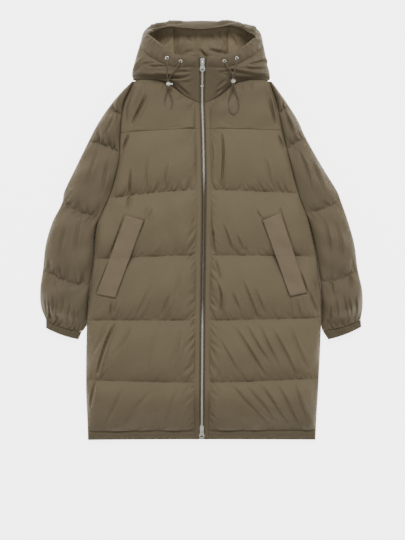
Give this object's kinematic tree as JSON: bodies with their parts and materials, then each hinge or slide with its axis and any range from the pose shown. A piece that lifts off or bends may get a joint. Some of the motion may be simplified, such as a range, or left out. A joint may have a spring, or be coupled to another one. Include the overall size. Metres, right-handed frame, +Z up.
{
  "type": "puffer jacket",
  "caption": "Long hooded puffer jacket laid flat on its back and zipped up, with horizontal quilting, slanted pocket welts, elastic cuffs and a corded hood.",
  "frame": {"origin": "on the surface the coat lies on, under the centre of its bounding box", "axes": "+Y along the coat from hem to hood, +Z up from the surface towards the coat's front, +X towards the wearer's left"},
  "size_m": [0.8922, 1.1588, 0.0847],
  "materials": {
    "shell": "matte brown-olive nylon, finely woven",
    "lining": "smooth matte nylon, a little darker than the shell",
    "zip_tape": "dark olive-grey woven tape",
    "cord": "round braided elastic cord",
    "metal": "bright silver plating"
  },
  "bodies": {
    "coat": {"back": "shell", "front_left": "shell", "front_right": "shell", "yoke_left": "shell", "yoke_right": "shell", "sleeve_left": "shell", "sleeve_right": "shell", "cuff_left": "shell", "cuff_right": "shell", "hood_side_left": "shell", "hood_side_right": "shell", "hood_crown": "shell", "hood_casing": "shell", "welt_left": "shell", "welt_right": "shell", "hood_lining_left": "lining", "hood_lining_right": "lining", "hood_lining_crown": "lining", "zip_tape_left": "zip_tape", "zip_tape_right": "zip_tape", "zip_chain": "metal", "slider_top": "metal", "slider_bottom": "metal", "eyelet_left_inner": "metal", "eyelet_left_outer": "metal", "eyelet_right_inner": "metal", "eyelet_right_outer": "metal", "lock_left": "metal", "lock_right": "metal", "cord_left": "cord", "cord_right": "cord"},
    "top_pull": {"pull_top": "metal"},
    "bottom_pull": {"pull_bottom": "metal"},
    "left_button": {"button_left": "metal"},
    "right_button": {"button_right": "metal"}
  },
  "joints": [
    {"name": "top_pull_hinge", "type": "hinge", "parent": "coat", "child": "top_pull", "pos_m": [0.00266, 0.45489, 0.07899], "axis": [-1, 0, 0], "range_deg": [0, 150]},
    {"name": "bottom_pull_hinge", "type": "hinge", "parent": "coat", "child": "bottom_pull", "pos_m": [0.00078, -0.552, 0.0157], "axis": [-1, 0, 0], "range_deg": [0, 150]},
    {"name": "left_button_slide", "type": "slide", "parent": "coat", "child": "left_button", "axis": [0, 0, -1], "range_m": [0, 0.0022], "stiffness_N_per_m": 400, "springref_m": -0.002},
    {"name": "right_button_slide", "type": "slide", "parent": "coat", "child": "right_button", "axis": [-1, 0, 0], "range_m": [0, 0.0022], "stiffness_N_per_m": 400, "springref_m": -0.002}
  ]
}
